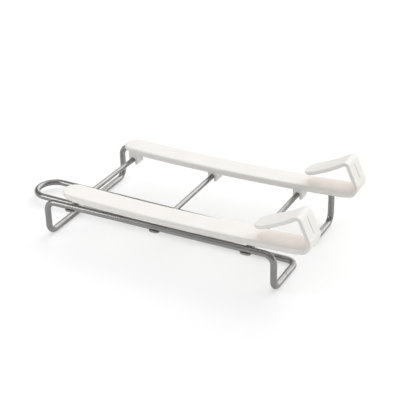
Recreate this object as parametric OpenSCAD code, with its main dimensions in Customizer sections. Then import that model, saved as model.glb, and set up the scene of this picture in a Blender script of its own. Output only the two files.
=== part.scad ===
// Low bath bench: a bent steel tube base with two bowed plastic rails, each ending in a spring hook.
// X runs along the rails with the hooks at +X, Y from front to back, Z up from the floor.
// Places along X are measured from the axis of the left legs, and the whole bench is then centred.

/* [Base tube] */
// Outside diameter of the base tube
tube_d = 16; // [14:0.5:18]
// Wall of the base tube
tube_wall = 1.5; // [1:0.1:2]
// Left legs to right legs, on their axes
frame_length = 620; // [600:5:660]
// Front side bar to rear side bar, on their axes
frame_width = 362; // [340:2:420]
// Floor tubes to side bars, on their axes
frame_height = 90; // [80:1:120]
// Radius of the tube bends, on the axis
bend_radius = 24; // [20:1:28]
// Side bar axis to the butt joint in each foot
foot_joint = 66; // [60:1:72]
// Length of the sleeve inside a butt joint
sleeve_length = 50; // [30:1:56]

/* [Floor loop] */
// Width of the loop between its two long legs, on their axes
loop_width = 90; // [70:1:110]
// Reach of the loop's round end past the left floor tube, on its axis
loop_reach = 157; // [110:1:200]

/* [Cross tubes] */
// Outside diameter of a cross tube
cross_d = 12.7; // [11:0.1:14]
// Wall of a cross tube
cross_wall = 1.2; // [1:0.1:2]
// Spacing of the three cross tubes
cross_pitch = 240; // [220:1:250]
// Cross tube axis below the side bar axis
cross_drop = 3; // [2:0.5:5]
// Width of a pressed end
tongue_width = 28; // [20:1:30]
// Metal left under the side bar in a pressed end
tongue_skin = 3.7; // [3:0.1:4.5]
// Length over which the round tube is pressed flat
press_length = 16; // [10:1:20]

/* [Rails] */
// Left tip of a rail
rail_start = 34.5; // [24:0.5:44]
// Right end of a rail
rail_end = 707; // [695:1:740]
// Width of a rail
rail_width = 67; // [60:1:76]
// Thickness of a rail
rail_thick = 15; // [13:0.5:18]
// Wall of the hollow moulding
rail_wall = 3; // [2:0.5:4]
// Radius of the rail's top edges
edge_radius = 5; // [4.5:0.5:7]
// Radius of the upward bow along a rail
bow_radius = 6180; // [5000:20:9000]
// Lowest point of the bow
bow_low = 350; // [330:1:370]
// Gap over the side bar at the lowest point
bar_gap = 2; // [1:0.5:5]
// Overhang of a rail past the side bar axis
rail_overhang = 3; // [0:0.5:6]

/* [Saddles] */
// Length of a saddle along the rail
saddle_length = 25; // [22:0.5:30]
// Running clearance round the cross tube
saddle_fit = 0.3; // [0.2:0.05:0.5]
// Depth of the saddle's legs below the cross tube axis
saddle_drop = 13; // [10:0.5:14]
// Mouth that the tube snaps through
saddle_mouth = 11; // [10:0.1:12]

/* [Hooks] */
// Radius of the sweep from the rail's underside into the upright
corner_r = 26; // [20:1:26]
// Height of the upright's bend above the rail's underside
kink_rise = 32; // [28:1:38]
// Height of the hook's top above the rail's underside
hook_rise = 90.5; // [84:0.5:100]
// Lean of the upright
lean_angle = 24.4; // [20:0.2:28]
// Thickness of the upright
upright_thick = 9; // [8:0.5:10]
// Outside radius of the fold
fold_r = 13; // [12:0.5:15]
// Thickness of the arm
arm_thick = 9; // [7:0.5:10]
// Radius of the arm's curve
arm_radius = 378; // [340:2:420]
// Slope of the arm where it leaves the fold
arm_slope_root = 33; // [31:0.5:35]
// Slope of the arm at its tip
arm_slope_tip = 15.5; // [13:0.5:18]
// Radius of the corners of the arm's tip
tip_radius = 27; // [20:1:32]

/* [Pads] */
// Left tip of a pad under the hook
pad_start = 567; // [555:1:600]
// Thickness of a pad
pad_thick = 1.5; // [1:0.1:2]
// Flat rim of the rail's top beside a pad
pad_rim = 1.5; // [0.5:0.5:4]

/* [Hidden] */
$fn = 64;

satin_steel = "darkgray";
bare_steel = "silver";
white_plastic = "whitesmoke";
soft_rubber = "linen";

// Slip between pieces that are pushed together, and a cut's overrun past a face
slip = 0.1;
over = 1;

tube_r = tube_d / 2;
side_y = frame_width / 2;
side_z = tube_r + frame_height;
joint_y = side_y - foot_joint;
loop_tilt = asin((tube_d + slip) / frame_length);
mid_x = (rail_end - loop_reach - tube_r) / 2;

cross_z = side_z - cross_drop;
cross_x = [for (k = [-1:1]) frame_length / 2 + k * cross_pitch];
tongue_y = side_y - tube_r;
round_y = tongue_y - press_length;
tongue_thick = 5.2;
tongue_corner = 6;
press_fn = 32;

rail_y = side_y + rail_overhang - rail_width / 2;
rail_low = side_z + tube_r + bar_gap;
roof_low = rail_thick - rail_wall;
bow_steps = 2400;
edge_fn = 32;
turn_steps = 3;
cap_x = rail_start + rail_width / 2;
end_block = 15;
arc_end = rail_end - end_block;
rib_thick = 2;
rib_depth = 8;

saddle_in = rail_y - rail_width / 2 + edge_radius + slip;
saddle_out = round_y - 2;
lead_in = 2;

end_low = rail_low + bow_radius - sqrt(pow(bow_radius, 2) - pow(rail_end - bow_low, 2));
kink_z = end_low + kink_rise;
kink_r = 12;
kink_run = kink_r * tan(lean_angle / 2);
fold_z = end_low + hook_rise - fold_r;
fold_x = rail_end - ((fold_z - kink_z) * sin(lean_angle) + fold_r) / cos(lean_angle);
lean_length = (rail_end - fold_x) * sin(lean_angle) + (fold_z - kink_z) * cos(lean_angle);
seat_gap = 0.3;
seat_lip = 4;
arc_steps = 12;
groove_width = 5;
groove_depth = 2;
groove_start = 4;
groove_length = 42;

arm_centre_x = fold_x - (arm_radius - arm_thick / 2 + fold_r) * sin(arm_slope_root);
arm_tip_x = arm_centre_x + arm_radius * sin(arm_slope_tip);

pad_half = rail_width / 2 - edge_radius - pad_rim;
pad_cap_x = pad_start + pad_half;
pad_end = rail_end - upright_thick - 4 * over;

// Height of a rail's underside at a place along the bench
function rail_under(x) = rail_low + bow_radius - sqrt(pow(bow_radius, 2) - pow(x - bow_low, 2));

// Angle on the bow, from its lowest point
function bow_angle(x) = asin((x - bow_low) / bow_radius);

// Everything is drawn from the left legs, then centred along X
module centred() {
    translate([-mid_x, 0, 0]) children();
}

// A section carried along steps of [run, bend, turn before the step, radius], from the origin along +Z,
// bending towards +X, with spare length at both ends
module bent_run(steps, spare = 0, k = 0) {
    if (k < len(steps)) {
        first = k == 0 ? spare : 0;
        last = k == len(steps) - 1 ? spare : 0;
        run = steps[k][0];
        bend = steps[k][1];
        r = steps[k][3];
        rotate([0, 0, steps[k][2]]) {
            if (run > 0) translate([0, 0, -first]) linear_extrude(run + first + last) children();
            if (bend > 0)
                translate([r, 0, run]) rotate([90, 0, 180])
                    rotate_extrude(angle = bend, $fn = max($fn, ceil(r * turn_steps)))
                        translate([r, 0]) children();
            translate([r * (1 - cos(bend)), 0, run + r * sin(bend)]) rotate([0, bend, 0])
                bent_run(steps, spare, k + 1) children();
        }
    }
}

module bent_tube(steps) {
    difference() {
        bent_run(steps) circle(d = tube_d);
        bent_run(steps, over) circle(d = tube_d - 2 * tube_wall);
    }
}

// One side of the base: foot, leg, side bar, leg and foot from one length of tube
module side_tube() {
    foot = foot_joint - bend_radius;
    leg = frame_height - 2 * bend_radius;
    bar = frame_length - 2 * bend_radius;
    translate([0, -joint_y, tube_r]) rotate([90, 0, 0])
        bent_tube([[foot, 90, 90, bend_radius], [leg, 90, -90, bend_radius], [bar, 90, 0, bend_radius],
                   [leg, 90, 90, bend_radius], [foot, 0, 0, bend_radius]]);
}

module front_side_tube() {
    color(satin_steel) centred() side_tube();
}

module rear_side_tube() {
    color(satin_steel) centred() mirror([0, 1, 0]) side_tube();
}

module left_floor_tube() {
    color(satin_steel) centred() translate([0, -joint_y, tube_r]) rotate([-90, 0, 0])
        bent_tube([[2 * joint_y, 0, 0, bend_radius]]);
}

// Hairpin that starts and ends in the right feet and lies across the left floor tube
module floor_loop_tube() {
    stub = joint_y - loop_width / 2 - bend_radius;
    leg = frame_length - bend_radius + loop_reach - loop_width / 2;
    color(satin_steel) centred() translate([frame_length, 0, tube_r]) rotate([0, loop_tilt, 0])
        translate([0, -joint_y, 0]) rotate([-90, 0, 0])
            bent_tube([[stub, 90, 180, bend_radius], [leg, 180, 180, loop_width / 2],
                       [leg, 90, 180, bend_radius], [stub, 0, 0, bend_radius]]);
}

// Short sleeve pushed into both tubes of a butt joint
module sleeve(x, side) {
    d = tube_d - 2 * tube_wall - slip;
    start = side * joint_y - sleeve_length / 2;
    color(bare_steel) centred() translate([x, start, tube_r]) rotate([-90, 0, 0])
        difference() {
            cylinder(d = d, h = sleeve_length);
            translate([0, 0, -over]) cylinder(d = d - 2 * tube_wall, h = sleeve_length + 2 * over);
        }
}

// Cross tube end pressed into a tongue that cups the underside of the side bar
module pressed_end() {
    low = side_z - tube_r - tongue_skin;
    half = tongue_width / 2 - tongue_corner;
    difference() {
        union() {
            hull() {
                translate([0, round_y, cross_z]) rotate([-90, 0, 0])
                    cylinder(d = cross_d, h = slip, $fn = press_fn);
                translate([-tongue_width / 2, tongue_y - slip, low])
                    cube([tongue_width, slip, tongue_thick]);
            }
            translate([0, tongue_y, low]) linear_extrude(tongue_thick) {
                translate([-tongue_width / 2, 0]) square([tongue_width, tube_d - tongue_corner]);
                translate([-half, 0]) square([2 * half, tube_d]);
                for (s = [-half, half]) translate([s, tube_d - tongue_corner]) circle(tongue_corner);
            }
        }
        translate([-tongue_width, side_y, side_z]) rotate([0, 90, 0])
            cylinder(d = tube_d + slip, h = 2 * tongue_width);
    }
}

module cross_tube(k) {
    color(satin_steel) centred() translate([cross_x[k], 0, 0]) {
        translate([0, -round_y, cross_z]) rotate([-90, 0, 0]) difference() {
            cylinder(d = cross_d, h = 2 * round_y);
            translate([0, 0, over]) cylinder(d = cross_d - 2 * cross_wall, h = 2 * (round_y - over));
        }
        pressed_end();
        mirror([0, 1, 0]) pressed_end();
    }
}

// Section of a rail, across and up from a low edge: flat top and round top edges, inset by a wall
module rail_section(wall, low) {
    half = rail_width / 2 - wall;
    edge = edge_radius - wall;
    top = rail_thick - wall;
    translate([-half, low]) square([2 * half, top - edge - low]);
    translate([edge - half, low]) square([2 * (half - edge), top - low]);
    for (s = [-1, 1]) translate([s * (half - edge), top - edge]) circle(edge, $fn = edge_fn);
}

module hollow_section() {
    difference() {
        rail_section(0, 0);
        rail_section(rail_wall, -over);
    }
}

// Carries a section (across, up from the rail's underside) along the bow from one place to another
module along_bow(from, to) {
    start = bow_angle(from);
    translate([bow_low, 0, rail_low + bow_radius]) rotate([90, 0, 0]) rotate([0, 0, start - 90])
        rotate_extrude(angle = bow_angle(to) - start, $fn = bow_steps)
            translate([bow_radius, 0]) rotate(90) children();
}

// Half-round left end: the right half of a section, turned about the rail's own normal at a place along it
module round_end(x) {
    translate([bow_low, 0, rail_low + bow_radius]) rotate([0, -bow_angle(x), 0])
        translate([0, 0, -bow_radius]) rotate([0, 0, 90]) rotate_extrude(angle = 180) intersection() {
            children();
            translate([0, -over]) square([rail_width, rail_thick + 2 * over]);
        }
}

// Section of a pad, or of the bed for it with a gap all round and open above
module pad_section(gap, above) {
    half = pad_half + gap;
    translate([-half, rail_thick - pad_thick - gap]) square([2 * half, pad_thick + gap + above]);
}

// A pad, or the bed for it, along the bow with a half-round left end
module pad_shape(gap, above) {
    along_bow(pad_cap_x, pad_end + gap) pad_section(gap, above);
    round_end(pad_cap_x) pad_section(gap, above);
}

// Thin webs inside a rail: in pairs beside the saddles, evenly between them, and one lengthwise
module ribs() {
    width = rail_width - 2 * rail_wall + over;
    low = roof_low - rib_depth;
    beside = [for (x = cross_x, s = [-1, 1]) x + s * (saddle_length / 2 + slip + rib_thick / 2)];
    bays = [for (x = [cross_x[0], cross_x[1]], k = [1:4]) x + k * cross_pitch / 5];
    hook_bay = [for (k = [1:2]) cross_x[2] + k * cross_pitch / 5];
    for (x = concat(beside, bays, hook_bay))
        translate([x - rib_thick / 2, -width / 2, rail_under(x) + low])
            cube([rib_thick, width, rib_depth + over]);
    along_bow(cap_x, arc_end) translate([-rib_thick / 2, low]) square([rib_thick, rib_depth + over]);
}

// Points of an arc about a centre, in even turns
function arc(centre, r, from, to) =
    [for (k = [0:arc_steps]) let (a = from + (to - from) * k / arc_steps) centre + r * [cos(a), sin(a)]];

// Right end of a rail in one plate: rounded up from the underside, then leaning back to the fold,
// with a shallow groove outside and a round seat for the fold on top; the hollow is closed beside it
module upright() {
    low = rail_under(arc_end);
    kink = [rail_end - kink_r, kink_z - kink_run];
    outward = [cos(lean_angle), sin(lean_angle)];
    lip = [rail_end, kink_z] + (lean_length - seat_lip) * [-sin(lean_angle), cos(lean_angle)];
    inner_x = rail_end - upright_thick;
    shoulder = low + rail_thick - edge_radius - over;
    along_bow(arc_end, rail_end - upright_thick / 2) rail_section(0, rail_wall);
    difference() {
        translate([0, rail_width / 2, 0]) rotate([90, 0, 0]) linear_extrude(rail_width)
            polygon(concat([[rail_end, low]], arc(kink, kink_r, 0, lean_angle),
                           [lip, lip - upright_thick * outward],
                           arc(kink, kink_r - upright_thick, lean_angle, 0),
                           [[inner_x, shoulder], [arc_end - over, shoulder], [arc_end - over, low]]));
        translate([rail_end, 0, kink_z]) rotate([0, -lean_angle, 0])
            translate([-groove_depth, -groove_width / 2, groove_start])
                cube([2 * groove_depth, groove_width, groove_length]);
        translate([fold_x, rail_width, fold_z]) rotate([90, 0, 0])
            cylinder(r = fold_r + seat_gap, h = 2 * rail_width);
    }
}

// Block that a saddle is cut from, with a gap all round for its pocket in the ribs
module saddle_block(x, gap) {
    length = saddle_length + 2 * gap;
    translate([x - length / 2, saddle_in - rail_y - gap, cross_z - saddle_drop])
        cube([length, saddle_out - saddle_in + 2 * gap, side_z + saddle_drop]);
}

// What is cut off below the hook so that the underside sweeps up into the upright
module corner_cut() {
    start = rail_end - corner_r;
    low = rail_under(start);
    translate([0, rail_width / 2 + over, 0]) rotate([90, 0, 0]) linear_extrude(rail_width + 2 * over)
        polygon(concat(arc([start, low + corner_r], corner_r, -90, 0),
                       [[rail_end + over, low + corner_r], [rail_end + over, low - over], [start, low - over]]));
}

// One rail, drawn on its own centre line, with the bed for its pad
module rail() {
    difference() {
        union() {
            along_bow(cap_x, arc_end) hollow_section();
            round_end(cap_x) hollow_section();
            difference() {
                ribs();
                for (x = cross_x) saddle_block(x, slip);
            }
            upright();
        }
        pad_shape(slip, over);
        corner_cut();
    }
}

module on_rear() {
    translate([0, rail_y, 0]) children();
}

module on_front() {
    mirror([0, 1, 0]) on_rear() children();
}

module front_rail() {
    color(white_plastic) centred() on_front() rail();
}

module rear_rail() {
    color(white_plastic) centred() on_rear() rail();
}

// Clip that straddles a cross tube and plugs up into the rail between two ribs
module saddle(k) {
    x = cross_x[k];
    bore = cross_d + 2 * saddle_fit;
    mouth = saddle_mouth / 2;
    difference() {
        saddle_block(x, 0);
        translate([x, -rail_width, cross_z]) rotate([-90, 0, 0]) {
            cylinder(d = bore, h = 2 * rail_width);
            linear_extrude(2 * rail_width) polygon([
                [-mouth, 0], [mouth, 0], [mouth, saddle_drop - lead_in], [bore / 2, saddle_drop + over],
                [-bore / 2, saddle_drop + over], [-mouth, saddle_drop - lead_in]]);
        }
        along_bow(x - saddle_length, x + saddle_length)
            translate([-rail_width, roof_low - slip]) square([2 * rail_width, side_z]);
    }
}

module front_saddle(k) {
    color(white_plastic) centred() on_front() saddle(k);
}

module rear_saddle(k) {
    color(white_plastic) centred() on_rear() saddle(k);
}

// Section of the hook's springy band, with fully round edges
module arm_section() {
    half = (rail_width - arm_thick) / 2;
    translate([-arm_thick / 2, -half]) square([arm_thick, 2 * half]);
    for (s = [-half, half]) translate([0, s]) circle(d = arm_thick);
}

// Springy band of the hook: the fold that sits in the upright's seat, and the arm with its rounded tip
module hook_arm() {
    half = rail_width / 2;
    mid_r = fold_r - arm_thick / 2;
    side = half - tip_radius;
    square_x = arm_tip_x + tip_radius;
    fold_turn = 90 + arm_slope_root - lean_angle + acos((fold_r - upright_thick) / fold_r);
    intersection() {
        translate([fold_x, 0, fold_z]) rotate([0, -90 - arm_slope_root, 0]) translate([mid_r, 0, 0]) {
            bent_run([[0, arm_slope_root - arm_slope_tip, 0, arm_radius]]) arm_section();
            rotate([0, 180, 0]) bent_run([[0, fold_turn, 0, mid_r]]) arm_section();
        }
        linear_extrude(2 * fold_z) {
            for (s = [-side, side]) translate([square_x, s]) circle(tip_radius);
            translate([arm_tip_x, -side]) square([rail_end - arm_tip_x, 2 * side]);
            translate([square_x, -half]) square([rail_end - square_x, rail_width]);
        }
    }
}

module front_hook_arm() {
    color(white_plastic) centred() on_front() hook_arm();
}

module rear_hook_arm() {
    color(white_plastic) centred() on_rear() hook_arm();
}

// Soft pads let flush into the tops of the rails under the hooks
module front_pad() {
    color(soft_rubber) centred() on_front() pad_shape(0, 0);
}

module rear_pad() {
    color(soft_rubber) centred() on_rear() pad_shape(0, 0);
}

front_side_tube();
rear_side_tube();
left_floor_tube();
floor_loop_tube();
sleeve(0, -1);  // front_left_sleeve
sleeve(0, 1);  // rear_left_sleeve
sleeve(frame_length, -1);  // front_right_sleeve
sleeve(frame_length, 1);  // rear_right_sleeve
cross_tube(0);  // left_cross_tube
cross_tube(1);  // middle_cross_tube
cross_tube(2);  // right_cross_tube
front_rail();
front_saddle(0);  // front_left_saddle
front_saddle(1);  // front_middle_saddle
front_saddle(2);  // front_right_saddle
front_hook_arm();
front_pad();
rear_rail();
rear_saddle(0);  // rear_left_saddle
rear_saddle(1);  // rear_middle_saddle
rear_saddle(2);  // rear_right_saddle
rear_hook_arm();
rear_pad();
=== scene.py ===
import math

import bmesh
import bpy
import numpy as np
from mathutils import Matrix, Vector


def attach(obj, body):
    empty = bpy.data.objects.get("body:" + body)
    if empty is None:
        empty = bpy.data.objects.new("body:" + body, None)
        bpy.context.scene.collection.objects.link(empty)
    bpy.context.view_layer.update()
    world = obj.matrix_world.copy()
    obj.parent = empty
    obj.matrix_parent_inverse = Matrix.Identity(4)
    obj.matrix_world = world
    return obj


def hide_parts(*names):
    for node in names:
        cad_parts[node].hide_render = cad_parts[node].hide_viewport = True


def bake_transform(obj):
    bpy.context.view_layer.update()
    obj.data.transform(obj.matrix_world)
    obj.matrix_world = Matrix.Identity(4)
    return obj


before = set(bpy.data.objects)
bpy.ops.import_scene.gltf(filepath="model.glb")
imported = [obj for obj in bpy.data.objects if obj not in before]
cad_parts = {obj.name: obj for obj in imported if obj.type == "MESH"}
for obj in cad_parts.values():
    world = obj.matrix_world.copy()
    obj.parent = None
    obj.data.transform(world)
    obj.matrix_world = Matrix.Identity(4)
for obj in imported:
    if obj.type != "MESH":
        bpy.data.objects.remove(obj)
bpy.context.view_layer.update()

# Side tubes, left floor tube and floor loop: four lengths of 16 mm stainless tube, bent cold round a former
# and brought to a satin finish. They are butted over inner sleeves in the feet, where a fine line shows, and
# the loop is pressed into the left floor tube where it crosses it.
MM = 0.001
SIDES = ((-1, "front"), (1, "rear"))
LEGS_X = -271.0
LENGTH = 620.0
SIDE_Y = 181.0
SIDE_Z = 98.0
JOINT_Y = 115.0
TUBE_R = 8.0
BEND_R = 24.0
BEND_STEP = 5
EASED_LENGTH = 0.5
EASED_DEPTH = 0.4
LOOP_R = 45.0
LOOP_REACH = 156.7
LOOP_RISE = 10.7
LOOP_SLOPE = LOOP_RISE / LENGTH
SEAT_HALF = 9.0
TOUCH_GAP = 0.02
RING = np.linspace(0, 2 * np.pi, 48, endpoint=False)

# A way that no run of tube takes, and the range that most of a noise falls in.
OFF_AXIS = (0.48, 0.6, 0.64)
MID_NOISE = (0.3, 0.7)


def linear(code):
    """The linear colour of an sRGB hex code."""
    s = np.array([int(code[k:k + 2], 16) for k in (0, 2, 4)]) / 255
    return (*np.where(s > 0.04045, ((s + 0.055) / 1.055) ** 2.4, s / 12.92), 1.0)


def add_node(tree, kind, inputs, **settings):
    """A shader node with its settings; each input is a value or the output that it is linked to."""
    node = tree.nodes.new(kind)
    for name, value in settings.items():
        setattr(node, name, value)
    for name, value in inputs.items():
        if isinstance(value, bpy.types.NodeSocket):
            tree.links.new(value, node.inputs[name])
        else:
            node.inputs[name].default_value = value
    return node


def surface(name, low, high, patch, rough, grain, height, **values):
    """A Principled material: colour and roughness drift over patches of one size, and a fine grain of another
    size lifts the face by its height. Sizes are in mm."""
    material = bpy.data.materials.new(name)
    material.use_nodes = True
    tree = material.node_tree
    place = add_node(tree, "ShaderNodeTexCoord", {}).outputs["Object"]
    drift = add_node(tree, "ShaderNodeTexNoise", {"Vector": place, "Scale": 1 / (patch * MM), "Detail": 4.0})
    fine = add_node(tree, "ShaderNodeTexNoise", {"Vector": place, "Scale": 1 / (grain * MM), "Detail": 3.0})
    tint = add_node(tree, "ShaderNodeValToRGB", {"Fac": drift.outputs["Fac"]})
    for stop, position, code in zip(tint.color_ramp.elements, MID_NOISE, (low, high)):
        stop.position = position
        stop.color = linear(code)
    gloss = add_node(tree, "ShaderNodeMapRange", {
        "Value": drift.outputs["Fac"], "From Min": MID_NOISE[0], "From Max": MID_NOISE[1],
        "To Min": rough[0], "To Max": rough[1]})
    bump = add_node(tree, "ShaderNodeBump", {
        "Height": fine.outputs["Fac"], "Strength": 1.0, "Distance": height * MM})
    shader = tree.nodes["Principled BSDF"]
    tree.links.new(tint.outputs["Color"], shader.inputs["Base Color"])
    tree.links.new(gloss.outputs["Result"], shader.inputs["Roughness"])
    tree.links.new(bump.outputs["Normal"], shader.inputs["Normal"])
    for socket, value in values.items():
        shader.inputs[socket].default_value = value
    return material


def quads(rows, columns, wrap):
    """Faces of a grid of points, row by row; wrap joins the last column to the first."""
    i = np.arange(rows * columns).reshape(rows, columns)
    i = np.hstack([i, i[:, :1]]) if wrap else i
    return np.stack([i[:-1, :-1], i[:-1, 1:], i[1:, 1:], i[1:, :-1]], -1).reshape(-1, 4).tolist()


def loft(rings):
    """Points and faces of closed rings joined one to the next, with a flat face over each end."""
    n, m, _ = rings.shape
    ends = [list(range(m)), list(range((n - 1) * m, n * m))]
    return rings.reshape(-1, 3), quads(n, m, True) + ends


def put(name, shapes, material, crease=35):
    """A mesh object from shapes of points and faces, in mm from the left legs, the middle of the base and the
    floor. Points that meet are welded, and edges that turn by more than the crease angle stay sharp."""
    mesh = bpy.data.meshes.new(name)
    starts = np.cumsum([0] + [len(points) for points, _ in shapes])
    faces = [[k + start for k in face] for start, (_, rows) in zip(starts, shapes) for face in rows]
    points = (np.vstack([points for points, _ in shapes]) + (LEGS_X, 0, 0)) * MM
    mesh.from_pydata(points.tolist(), [], faces)
    work = bmesh.new()
    work.from_mesh(mesh)
    bmesh.ops.remove_doubles(work, verts=work.verts, dist=1e-6)
    bmesh.ops.recalc_face_normals(work, faces=work.faces)
    work.to_mesh(mesh)
    work.free()
    mesh.polygons.foreach_set("use_smooth", np.ones(len(mesh.polygons), bool))
    mesh.set_sharp_from_angle(angle=math.radians(crease))
    mesh.materials.append(material)
    piece = bpy.data.objects.new(name, mesh)
    bpy.context.scene.collection.objects.link(piece)
    return piece


def bent_tube(start, heading, bends, last):
    """A round section carried along straight runs and round bends, with eased ends. On a bend of radius R
    towards t the path is p + R (sin a h + (1 - cos a) t) at turn a, and the section turns by a about h x t."""
    p, h = np.array(start, float), np.array(heading, float)
    u = np.cross(h, OFF_AXIS)
    u /= np.linalg.norm(u)
    path, across = [p, p + EASED_LENGTH * h], [u, u]
    for run, toward, turn, radius in bends:
        p, t = p + run * h, np.array(toward, float)
        a = np.radians(np.linspace(0, turn, int(turn / BEND_STEP) + 1))[:, None]
        axis = np.cross(h, t)
        path.append(p + radius * (np.sin(a) * h + (1 - np.cos(a)) * t))
        across.append(u * np.cos(a) + np.cross(axis, u) * np.sin(a) + axis * (axis @ u) * (1 - np.cos(a)))
        p, u = path[-1][-1], across[-1][-1]
        h = np.cos(a[-1]) * h + np.sin(a[-1]) * t
    path = np.vstack(path + [p + (last - EASED_LENGTH) * h, p + last * h])
    across = np.vstack(across + [u, u])
    along = np.gradient(path, axis=0)
    along -= across * np.sum(along * across, 1, keepdims=True)
    other = np.cross(along / np.linalg.norm(along, axis=1, keepdims=True), across)
    radii = np.full(len(path), TUBE_R)
    radii[[0, -1]] -= EASED_DEPTH
    spokes = across[:, None] * np.cos(RING)[:, None] + other[:, None] * np.sin(RING)[:, None]
    return loft(path[:, None] + radii[:, None, None] * spokes)


# Satin stainless steel: mid grey metal with a broad soft highlight and slight clouding from the polishing.
# Its grain is drawn at 1.2 mm, coarser than the real one, so that it shows.
satin_steel = surface("satin_stainless_steel", "848382", "929190", patch=50, rough=(0.24, 0.32),
                      grain=1.2, height=0.02, Metallic=1.0)

foot = SIDE_Y - JOINT_Y - BEND_R
leg = SIDE_Z - TUBE_R - 2 * BEND_R
bar = LENGTH - 2 * BEND_R
for side, name in SIDES:
    tube = put(f"{name}_side_frame", [bent_tube((0, side * JOINT_Y, TUBE_R), (0, side, 0), [
        (foot, (0, 0, 1), 90, BEND_R), (leg, (1, 0, 0), 90, BEND_R), (bar, (0, 0, -1), 90, BEND_R),
        (leg, (0, -side, 0), 90, BEND_R)], foot)], satin_steel)
    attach(tube, "base")
    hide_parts(f"{name}_side_tube")


def both_ways(half):
    """Stations from the middle outwards, carried on to the other side, as a column."""
    return np.concatenate([-half[:0:-1], half])[:, None]


def pressed_under(z, d, axis_z):
    """Heights pressed down to the underside of a tube that crosses at a distance d: they stay a hair below
    axis - sqrt(R^2 - d^2)."""
    under = axis_z - np.sqrt(np.clip(TUBE_R ** 2 - d ** 2, 0, None))
    return np.where(np.abs(d) < TUBE_R, np.minimum(z, under - TOUCH_GAP), z)


def seated_tube():
    """A round section carried straight across the base, with eased ends, and pressed in under the loop."""
    y = both_ways(np.concatenate([
        [0.0], LOOP_R + np.linspace(-SEAT_HALF, SEAT_HALF, 37), [JOINT_Y - EASED_LENGTH, JOINT_Y]]))
    radii = np.where(np.abs(y) < JOINT_Y, TUBE_R, TUBE_R - EASED_DEPTH)
    loop_z = TUBE_R + LOOP_SLOPE * (LENGTH - BEND_R)
    z = pressed_under(TUBE_R + radii * np.sin(RING), np.abs(y) - LOOP_R, loop_z)
    return loft(np.stack(np.broadcast_arrays(radii * np.cos(RING), y, z), -1))


floor_tube = put("left_floor_bar", [seated_tube()], satin_steel)
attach(floor_tube, "base")
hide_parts("left_floor_tube")

stub = JOINT_Y - LOOP_R - BEND_R
run = LENGTH - BEND_R + LOOP_REACH - LOOP_R
tilt = math.asin(LOOP_SLOPE)
away = (-math.cos(tilt), 0, math.sin(tilt))
loop = put("floor_loop", [bent_tube((LENGTH, -JOINT_Y, TUBE_R), (0, 1, 0), [
    (stub, away, 90, BEND_R), (run, (0, 1, 0), 180, LOOP_R), (run, (0, 1, 0), 90, BEND_R)],
    stub)], satin_steel)
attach(loop, "base")
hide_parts("floor_loop_tube")

# Sleeves: short lengths of plain drawn tube pushed into both sides of each joint in the feet. They lie hidden
# inside the tubes, so the nodes of the frame stay as they are.
# Drawn steel: bare cool grey, a little oily, with fine marks from the die.
drawn_steel = surface("drawn_steel", "85868A", "939498", patch=20, rough=(0.35, 0.5),
                      grain=0.6, height=0.02, Metallic=1.0)
for name in ("front_left_sleeve", "rear_left_sleeve", "front_right_sleeve", "rear_right_sleeve"):
    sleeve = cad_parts[name]
    sleeve.data.materials.clear()
    sleeve.data.materials.append(drawn_steel)

# Cross tubes: three thinner tubes from side bar to side bar, the same steel. Each end is pressed flat and
# wide into a tongue, cupped round the underside of the side bar and welded there.
CROSS_R = 6.35
CROSS_Z = 95.0
CROSS_X = (70.0, 310.0, 550.0)
PLAIN_Y = 80.0
ROUND_Y = 157.0
TONGUE_Y = 173.0
TIP_Y = 189.0
TONGUE_HALF = 14.0
TONGUE_THICK = 5.2
TONGUE_LOW = 86.3
TONGUE_CORNER = 6.0
TONGUE_POWER = 0.4
FLAT_GAP = 0.5
CORNER_TURN = 0.1


def smooth(x, start, end):
    """0 before start, 1 after end and an even ease between them."""
    t = np.clip((x - start) / (end - start), 0, 1)
    return t * t * (3 - 2 * t)


def squared(v, power):
    """A sine or cosine v drawn towards 1 and -1 by a power p below 1: sign(v) |v|^p."""
    return np.sign(v) * np.abs(v) ** power


def pressed_tube(x):
    """A section carried across the base: a circle that turns into a wide flat loop over the pressed length.
    Both are |cos a|^p, |sin a|^p curves, and the flat part stops under the round of the side bar."""
    corner_y = TIP_Y - TONGUE_CORNER
    y = both_ways(np.concatenate([
        [0.0, PLAIN_Y], np.linspace(ROUND_Y, TONGUE_Y, 22), np.linspace(TONGUE_Y + FLAT_GAP, corner_y, 14),
        corner_y + TONGUE_CORNER * np.sin(np.linspace(CORNER_TURN, np.pi / 2, 10))]))
    flat = smooth(np.abs(y), ROUND_Y, TONGUE_Y)
    past = np.clip(np.abs(y) - corner_y, 0, TONGUE_CORNER)
    trim = TONGUE_CORNER - np.sqrt(TONGUE_CORNER ** 2 - past ** 2)
    wide = CROSS_R + (TONGUE_HALF - CROSS_R) * flat - trim
    high = CROSS_R + (TONGUE_THICK / 2 - CROSS_R) * flat
    middle = CROSS_Z + (TONGUE_LOW + TONGUE_THICK / 2 - CROSS_Z) * flat
    power = 1 - (1 - TONGUE_POWER) * flat
    z = pressed_under(middle + high * squared(np.sin(RING), power), np.abs(y) - SIDE_Y, SIDE_Z)
    return loft(np.stack(np.broadcast_arrays(x + wide * squared(np.cos(RING), power), y, z), -1))


for name, x in zip(("left", "middle", "right"), CROSS_X):
    cross = put(f"{name}_cross_bar", [pressed_tube(x)], satin_steel)
    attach(cross, "base")
    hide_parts(f"{name}_cross_tube")

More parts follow.
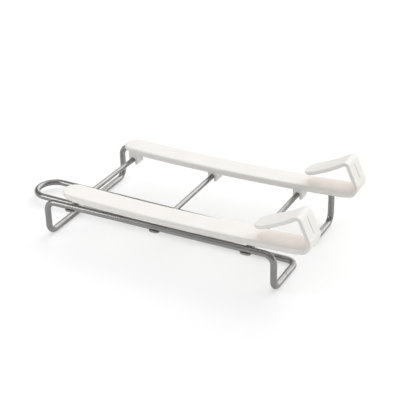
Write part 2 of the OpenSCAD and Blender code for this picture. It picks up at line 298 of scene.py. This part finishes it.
# Rails: two long hollow mouldings in off-white polypropylene, open below, bowed gently upwards. The top edges
# are well rounded, the left end is half round and thins out to its tip, and thin webs stiffen the inside.
RAIL_Y = 150.5
RAIL_HALF = 33.5
CAP_X = 68.0
FINE_X = (664.0, 672.0)
RAIL_END = 702.5
THICK = 15.0
WALL = 3.0
EDGE_R = 5.0
RIM_R = 1.0
BOW_R = 6180.0
BOW_X = 350.0
BOW_Z = 108.0
SWEEP_X = 681.0
SWEEP_R = 26.0
RIM_LIFT = 4.5
RIM_EASE = 6.0
TIP_LIFT = 9.0
TIP_EASE = (40.0, 90.0)
WEB_HALF = 1.0
WEB_TAPER = 0.2
WEB_LOW = 4.0
WEB_BITE = 0.4
WEB_STEP = 48.0
WEB_COUNTS = (4, 4, 2)
WEB_END = 688.0
SADDLE_HALF = 12.5
SADDLE_GAP = 0.1

# Rows of points on the plain parts of the roof and the top, by their inset from the edge.
ROOF_ROWS = (RAIL_HALF, 20.0)
TOP_ROWS = (12.0, 22.0, RAIL_HALF)

# Moulded polypropylene: warm off-white, satin, with the fine grain of the mould, drawn coarse enough to show.
white_plastic = surface("moulded_polypropylene", "E6E3DE", "EBE8E4", patch=90, rough=(0.40, 0.50),
                        grain=1.0, height=0.02, IOR=1.49)


def arc(x, y, r, start, end, count):
    """Points at even turns round a centre, angles in degrees."""
    a = np.radians(np.linspace(start, end, count))
    return np.stack([x + r * np.cos(a), y + r * np.sin(a)], -1)


def round_ended(stations, half, power):
    """Outline of a strip that comes down the stations on one side, turns round the last one on the curve
    |cos a|^p, |sin a|^p (a half circle at p = 1, squarer below) and goes back up, with the way out at each
    point."""
    turn = squared(arc(0, 0, 1, -90, -270, 49)[1:-1], power)
    down = np.stack([stations, np.full(len(stations), -half)], -1)
    outline = np.vstack([down, (stations[-1], 0) + half * turn, (down * (1, -1))[::-1]])
    sides = np.tile((0.0, -1.0), (len(stations), 1))
    return outline, np.vstack([sides, turn, -sides])


def folded(grid):
    """Points and faces of a wall along a round-ended outline, with a flat face over its straight end."""
    n, m, _ = grid.shape
    end = list(range(m)) + list(range((n - 1) * m, n * m))[::-1]
    return grid.reshape(-1, 3), quads(n, m, False) + [end]


def at_rail(shape, side):
    """A shape moved from the middle of the base to the front or the rear rail."""
    points, faces = shape
    return points + (0, side * RAIL_Y, 0), faces


def bowed(x, y, up):
    """A place along the rail, across it and up from its underside, bent on the rail's large circle."""
    a = np.arcsin((x - BOW_X) / BOW_R)
    return np.stack([BOW_X + (BOW_R - up) * np.sin(a), y, BOW_Z + BOW_R - (BOW_R - up) * np.cos(a)], -1)


def tip_lift(x):
    """How far the rim is drawn up towards the thin left end of the rail."""
    return TIP_LIFT * (1 - smooth(x, *TIP_EASE))


def rail_shell():
    """The outline, moved inwards by the inset of each point of the wall's section and up by its height: from
    the middle of the roof, down inside, round the rim, up outside, over the top edge and back to the middle.
    The rim is drawn up towards the left end, and at the right end on a circle, r - sqrt(r^2 - x^2), into the
    hook."""
    stations = np.concatenate([np.linspace(RAIL_END, FINE_X[1], 24), np.linspace(FINE_X[0], CAP_X, 76)])
    outline, out = round_ended(stations, RAIL_HALF, 1.0)
    section = np.vstack([
        [(inset, THICK - WALL) for inset in ROOF_ROWS],
        arc(EDGE_R, THICK - EDGE_R, EDGE_R - WALL, 90, 180, 6),
        arc(WALL - RIM_R, RIM_R, RIM_R, 0, -90, 5),
        arc(RIM_R, RIM_R, RIM_R, -90, -180, 5),
        arc(EDGE_R, THICK - EDGE_R, EDGE_R, 180, 90, 13),
        [(inset, THICK) for inset in TOP_ROWS]])
    flat = outline[:, None] - section[None, :, :1] * out[:, None]
    x = flat[..., 0]
    sweep = SWEEP_R - np.sqrt(SWEEP_R ** 2 - np.clip(x - SWEEP_X, 0, SWEEP_R) ** 2)
    lift = sweep + RIM_LIFT * smooth(x, SWEEP_X - RIM_EASE, SWEEP_X)
    rim = np.minimum(lift, THICK - WALL) + tip_lift(x)
    return folded(bowed(x, flat[..., 1], np.maximum(section[:, 1], rim)))


def web_section(low):
    """A web cut through: its root bites into the roof, and its free edge, at the height low, is thinner."""
    root, free, high = WEB_HALF, WEB_HALF - WEB_TAPER, THICK - WALL + WEB_BITE
    return np.array([(-root, high), (root, high), (free, low), (-free, low)])


def cross_web(x):
    """The section of a web carried across the inside of the rail."""
    section = web_section(WEB_LOW + tip_lift(x))
    y = np.array([-1.0, 1.0])[:, None] * (RAIL_HALF - WALL + WEB_BITE)
    return loft(bowed(*np.broadcast_arrays(x + section[:, 0], y, section[:, 1])))


def long_web(start, end):
    """The section of a web carried along the middle of the rail from one place to another, bent with it."""
    section = web_section(WEB_LOW)
    x = np.linspace(start, end, 20)[:, None]
    return loft(bowed(*np.broadcast_arrays(x, section[:, 0], section[:, 1])))


beside = SADDLE_HALF + SADDLE_GAP + WEB_HALF
long_ends = (CROSS_X[1] - beside, CROSS_X[2] - beside, WEB_END)
webs = [cross_web(x + s * beside) for x in CROSS_X for s in (-1, 1)]
webs += [cross_web(x + WEB_STEP * (k + 1)) for x, count in zip(CROSS_X, WEB_COUNTS) for k in range(count)]
webs += [long_web(x + beside, end) for x, end in zip(CROSS_X, long_ends)]
for side, name in SIDES:
    shapes = [at_rail(shape, side) for shape in [rail_shell()] + webs]
    rail = put(f"{name}_rail_moulding", shapes, white_plastic)
    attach(rail, f"{name}_rail")
    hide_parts(f"{name}_rail")

# Hooks: the right end of each rail rises in the same moulding, leans back, folds over and runs down as a
# springy arm to a soft round tip. A shallow groove runs up the outer face.
HOOK_START = 675.0
HOOK_LOW = 116.86
HOOK_THICK = 9.0
HOOK_EDGE = 3.6
TIP_POWER = 0.777
GROOVE_HALF = 3.6
GROOVE_FLAT = 0.6
GROOVE_DEPTH = 1.5
GROOVE_START = (7.0, 10.0)
GROOVE_END = (46.0, 52.0)
TURN_ROWS = 25

# Each leg of the hook seen from the side: a straight run, then a turn in degrees and its radius.
RISE = (6.0, 90.0, 26.0)
LEAN = (4.87, 24.4, 12.0)
FOLD = (53.27, 98.6, 13.0)
ARM = (0.0, -17.5, -373.5)

# Rows of points on the plain parts of the inner and the outer face, by their inset from the edge, and the
# number of stations on each run and turn up to the tip.
INNER_ROWS = (RAIL_HALF, 20.0, 8.0)
OUTER_ROWS = (8.0, 20.0, 28.0)
BAND_STATIONS = (3, 16, 4, 9, 24, 40, 24)


def side_path(x, z, legs):
    """Length, place and heading along runs and round turns seen from the side. On a turn of radius R from
    heading b the place is p + R (sin(b + a) - sin b, cos b - cos(b + a)); a right-hand turn has R and a below
    zero."""
    rows, length, b = [(0.0, x, z, 0.0)], 0.0, 0.0
    for run, turn, radius in legs:
        x, z, length = x + run * math.cos(b), z + run * math.sin(b), length + run
        a = np.radians(np.linspace(0, turn, TURN_ROWS))
        rows.append(np.stack([length + radius * a, x + radius * (np.sin(b + a) - math.sin(b)),
                              z + radius * (math.cos(b) - np.cos(b + a)), b + a], -1))
        length, x, z, b = rows[-1][-1]
    return np.vstack(rows).T


def hook_band():
    """A strip with a rounded end, laid out flat and wrapped on the side path: a point at length s, across y
    and depth d sits at path(s) - d outward(s). Its edges are half ellipses."""
    length, x, z, heading = side_path(HOOK_START, HOOK_LOW, (RISE, LEAN, FOLD, ARM))
    starts, ends = length[1::TURN_ROWS], length[TURN_ROWS::TURN_ROWS]
    marks = [0, starts[0], ends[0], starts[1], ends[1], starts[2], ends[2], ends[3] - RAIL_HALF]
    runs = [np.linspace(*run) for run in zip(marks, marks[1:], BAND_STATIONS)]
    stations = np.unique(np.round(np.concatenate(runs), 4))
    outline, out = round_ended(-stations, RAIL_HALF, TIP_POWER)
    edge = arc(0, 0, 1, 90, 270, 13)
    groove_rows = RAIL_HALF - np.linspace(GROOVE_HALF + GROOVE_FLAT, 0, 8)
    section = np.vstack([
        [(inset, 1) for inset in INNER_ROWS],
        np.stack([HOOK_EDGE * (1 + edge[:, 0]), (1 + edge[:, 1]) / 2], -1),
        [(inset, 0) for inset in (*OUTER_ROWS, *groove_rows)]])
    flat = outline[:, None] - section[None, :, :1] * out[:, None]
    s, y = -flat[..., 0], flat[..., 1]
    up_leg = s - ends[1]
    grooved = smooth(up_leg, *GROOVE_START) * (1 - smooth(up_leg, *GROOVE_END)) * (section[:, 1] == 0)
    groove = GROOVE_DEPTH * grooved * (1 - smooth(np.abs(y), GROOVE_FLAT, GROOVE_HALF))
    depth = section[:, 1] * HOOK_THICK + groove
    b = np.interp(s, length, heading)
    return folded(np.stack([
        np.interp(s, length, x) - depth * np.sin(b), y, np.interp(s, length, z) + depth * np.cos(b)], -1))


for side, name in SIDES:
    hook = put(f"{name}_hook_band", [at_rail(hook_band(), side)], white_plastic, crease=60)
    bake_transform(hook)
    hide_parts(f"{name}_hook_arm")

# Pads: a soft strip let into the top of each rail under the hook, with a half-round end, so that a board held
# there does not slip.
PAD_START = 594.0
PAD_END = 694.0
PAD_HALF = 27.0
PAD_THICK = 1.5
PAD_PROUD = 0.2
PAD_EDGE_R = 0.6
PAD_ROW = 10.0

# Thermoplastic rubber: soft beige, quite matt, with a fine even grain, drawn coarse enough to show.
soft_rubber = surface("beige_thermoplastic_rubber", "E6DFD9", "EAE4DF", patch=40, rough=(0.65, 0.75),
                      grain=1.2, height=0.04, IOR=1.5)


def pad_strip():
    """The strip's outline, moved inwards by the inset of each point of its section and up by its height: out
    along the underside, up the edge, over a small round and back to the middle of the top."""
    outline, out = round_ended(np.linspace(PAD_END, PAD_START, 13), PAD_HALF, 1.0)
    low, high = THICK - PAD_THICK, THICK + PAD_PROUD
    section = np.vstack([
        [(PAD_HALF, low), (0, low)], arc(PAD_EDGE_R, high - PAD_EDGE_R, PAD_EDGE_R, 180, 90, 5),
        [(PAD_ROW, high), (PAD_HALF, high)]])
    flat = outline[:, None] - section[None, :, :1] * out[:, None]
    return folded(bowed(flat[..., 0], flat[..., 1], np.broadcast_to(section[:, 1], flat.shape[:2])))


for side, name in SIDES:
    strip = put(f"{name}_pad_strip", [at_rail(pad_strip(), side)], soft_rubber)
    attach(strip, f"{name}_rail")
    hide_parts(f"{name}_pad")

# Saddles: six clips in harder white plastic, plugged up into the rails between two webs. Each snaps over a
# cross tube and slides along it.
SADDLE_IN = 122.1
SADDLE_OUT = 155.0
SADDLE_DROP = 13.0
BORE_R = 6.65
MOUTH_HALF = 5.5
LIP_FLARE = 0.8
LIP_HIGH = 2.0
FOOT_R = 2.5
CLIP_BEVEL = 0.6
BEVEL_ANGLE = 40

# Moulded acetal: a cleaner, slightly cooler white than the rails, and slicker.
clip_plastic = surface("moulded_acetal", "E9E8E5", "EFEEEB", patch=30, rough=(0.30, 0.40),
                       grain=0.8, height=0.02, IOR=1.48)


def saddle_clip(x, side):
    """The clip's side outline, with bore and mouth cut up into it, carried straight along the cross tube."""
    dip = math.degrees(math.acos(MOUTH_HALF / BORE_R))
    corner = arc(SADDLE_HALF - FOOT_R, FOOT_R - SADDLE_DROP, FOOT_R, 0, -90, 6)
    lip = np.array([(MOUTH_HALF + LIP_FLARE, -SADDLE_DROP), (MOUTH_HALF, LIP_HIGH - SADDLE_DROP)])
    right = np.vstack([corner, lip])
    bore = arc(0, 0, BORE_R, -dip, 180 + dip, 33)
    left = (right * (-1, 1))[::-1]
    spread = np.linspace(-SADDLE_HALF, SADDLE_HALF, 5)
    roof = bowed(x + spread, 0 * spread, THICK - WALL - SADDLE_GAP)[:, 2] - CROSS_Z
    ring = np.vstack([right, bore, left, np.stack([spread, roof], -1)])
    y = side * np.array([SADDLE_IN, SADDLE_OUT])[:, None]
    return loft(np.stack(np.broadcast_arrays(x + ring[:, 0], y, CROSS_Z + ring[:, 1]), -1))


for side, row in SIDES:
    for name, x in zip(("left", "middle", "right"), CROSS_X):
        clip = put(f"{row}_{name}_clip", [saddle_clip(x, side)], clip_plastic)
        bevel = clip.modifiers.new("soft edges", "BEVEL")
        bevel.width = CLIP_BEVEL * MM
        bevel.segments = 2
        bevel.limit_method = "ANGLE"
        bevel.angle_limit = math.radians(BEVEL_ANGLE)
        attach(clip, f"{row}_rail")
        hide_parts(f"{row}_{name}_saddle")

# Floor: a wide matt white sheet that the bench stands on. Half of what the eye and the steel see of it is an
# even white of its own, so the background stays white and the bench's shadow pale.
FLOOR_HALF = 30000 * MM
EVEN_SHARE = 0.5
WHITE = linear("FFFFFF")


def seen_rays(tree):
    """1 for rays of the camera, of mirrors and of glass, 0 for the rays that light other surfaces."""
    ray = add_node(tree, "ShaderNodeLightPath", {}).outputs
    mirrored = add_node(tree, "ShaderNodeMath", {
        0: ray["Is Glossy Ray"], 1: ray["Is Transmission Ray"]}, operation="MAXIMUM")
    seen = add_node(tree, "ShaderNodeMath", {
        0: ray["Is Camera Ray"], 1: mirrored.outputs["Value"]}, operation="MAXIMUM")
    return seen.outputs["Value"]


sheet = bpy.data.materials.new("matt_white_floor")
sheet.use_nodes = True
paper = sheet.node_tree
matt = paper.nodes["Principled BSDF"]
for socket, value in (("Base Color", WHITE), ("Roughness", 1.0), ("Specular IOR Level", 0.0)):
    matt.inputs[socket].default_value = value
share = add_node(paper, "ShaderNodeMath", {0: seen_rays(paper), 1: EVEN_SHARE}, operation="MULTIPLY")
even = add_node(paper, "ShaderNodeEmission", {"Color": WHITE, "Strength": 1.0})
both = add_node(paper, "ShaderNodeMixShader", {
    0: share.outputs["Value"], 1: matt.outputs["BSDF"], 2: even.outputs["Emission"]})
paper.links.new(both.outputs["Shader"], paper.nodes["Material Output"].inputs["Surface"])
corners = [(x * FLOOR_HALF, y * FLOOR_HALF, 0) for x, y in ((-1, -1), (1, -1), (1, 1), (-1, 1))]
floor_mesh = bpy.data.meshes.new("floor")
floor_mesh.from_pydata(corners, [], [(0, 1, 2, 3)])
floor_mesh.materials.append(sheet)
floor = bpy.data.objects.new("floor", floor_mesh)
bpy.context.scene.collection.objects.link(floor)

# Light: an even studio room with a broad bright wall behind the bench, a soft panel near its front left,
# which the left half of the front bar mirrors, and one broad soft lamp straight above. Low over the floor's
# edge the eye and the steel see the same white as on the floor.
SKY_HEIGHT = 0.9
SKY_LEVEL = (0.15, 0.57)
WALL_WAY = (0.28, 0.915, 0.28)
WALL_EDGE = (0.52, 0.9)
WALL_LEVEL = 2.4
BACKDROP_EDGE = (0.19, 0.28)
LAMP_LEVEL = 0.40
LAMP_SPREAD = 60
PANEL_SIZE = (0.6, 1.0)
PANEL_POWER = 9
PANEL_PLACE = Vector((-1.3, -1.2, 1.0))
PANEL_AIM = Vector((0, 0, 0.1))

world = bpy.data.worlds.new("studio")
world.use_nodes = True
bpy.context.scene.world = world
air = world.node_tree
way = add_node(air, "ShaderNodeTexCoord", {}).outputs["Generated"]
height = add_node(air, "ShaderNodeSeparateXYZ", {"Vector": way}).outputs["Z"]
sky = add_node(air, "ShaderNodeMapRange", {
    "Value": height, "From Min": 0.0, "From Max": SKY_HEIGHT,
    "To Min": SKY_LEVEL[0], "To Max": SKY_LEVEL[1]})
toward = add_node(air, "ShaderNodeVectorMath", {0: way, 1: WALL_WAY}, operation="DOT_PRODUCT")
wall = add_node(air, "ShaderNodeMapRange", {
    "Value": toward.outputs["Value"], "From Min": WALL_EDGE[0], "From Max": WALL_EDGE[1],
    "To Min": 0.0, "To Max": WALL_LEVEL}, interpolation_type="SMOOTHSTEP")
room = add_node(air, "ShaderNodeMath", {
    0: sky.outputs["Result"], 1: wall.outputs["Result"]}, operation="ADD")
band = add_node(air, "ShaderNodeMapRange", {
    "Value": height, "From Min": BACKDROP_EDGE[0], "From Max": BACKDROP_EDGE[1],
    "To Min": 1.0, "To Max": 0.0})
backdrop = add_node(air, "ShaderNodeMath", {
    0: band.outputs["Result"], 1: seen_rays(air)}, operation="MULTIPLY")
level = add_node(air, "ShaderNodeMath", {
    0: room.outputs["Value"], 1: backdrop.outputs["Value"]}, operation="MAXIMUM")
air.links.new(level.outputs["Value"], air.nodes["Background"].inputs["Strength"])
air.nodes["Background"].inputs["Color"].default_value = WHITE

lamp_data = bpy.data.lights.new("overhead", "SUN")
lamp_data.energy = LAMP_LEVEL
lamp_data.angle = math.radians(LAMP_SPREAD)
lamp = bpy.data.objects.new("overhead", lamp_data)
bpy.context.scene.collection.objects.link(lamp)

panel_data = bpy.data.lights.new("front_left_panel", "AREA")
panel_data.shape = "RECTANGLE"
panel_data.size, panel_data.size_y = PANEL_SIZE
panel_data.energy = PANEL_POWER
panel = bpy.data.objects.new("front_left_panel", panel_data)
panel.location = PANEL_PLACE
panel.rotation_euler = (PANEL_AIM - PANEL_PLACE).to_track_quat("-Z", "Y").to_euler()
bpy.context.scene.collection.objects.link(panel)

# Camera: where the photo was taken from, looking down on the front right of the bench with a long lens. Its
# turn, tip and roll are in degrees.
TARGET = Vector((0.0645, 0.0045, 0.0879))
DISTANCE = 2.5956
TURN, TIP, ROLL = (math.radians(a) for a in (28.05, 27.83, -1.29))
LENS = 92.85
SENSOR = 36
SIGHT_END = 100

back = Vector((math.sin(TURN) * math.cos(TIP), -math.cos(TURN) * math.cos(TIP), math.sin(TIP)))
level_right = Vector((math.cos(TURN), math.sin(TURN), 0))
level_up = back.cross(level_right)
right = level_right * math.cos(ROLL) + level_up * math.sin(ROLL)
up = level_up * math.cos(ROLL) - level_right * math.sin(ROLL)
view_data = bpy.data.cameras.new("photo")
view_data.lens = LENS
view_data.sensor_width = SENSOR
view_data.clip_end = SIGHT_END
view = bpy.data.objects.new("photo", view_data)
turned = Matrix((right, up, back)).transposed().to_4x4()
view.matrix_world = Matrix.Translation(TARGET + DISTANCE * back) @ turned
bpy.context.scene.collection.objects.link(view)
bpy.context.scene.camera = view
bpy.context.scene.view_settings.view_transform = "Standard"
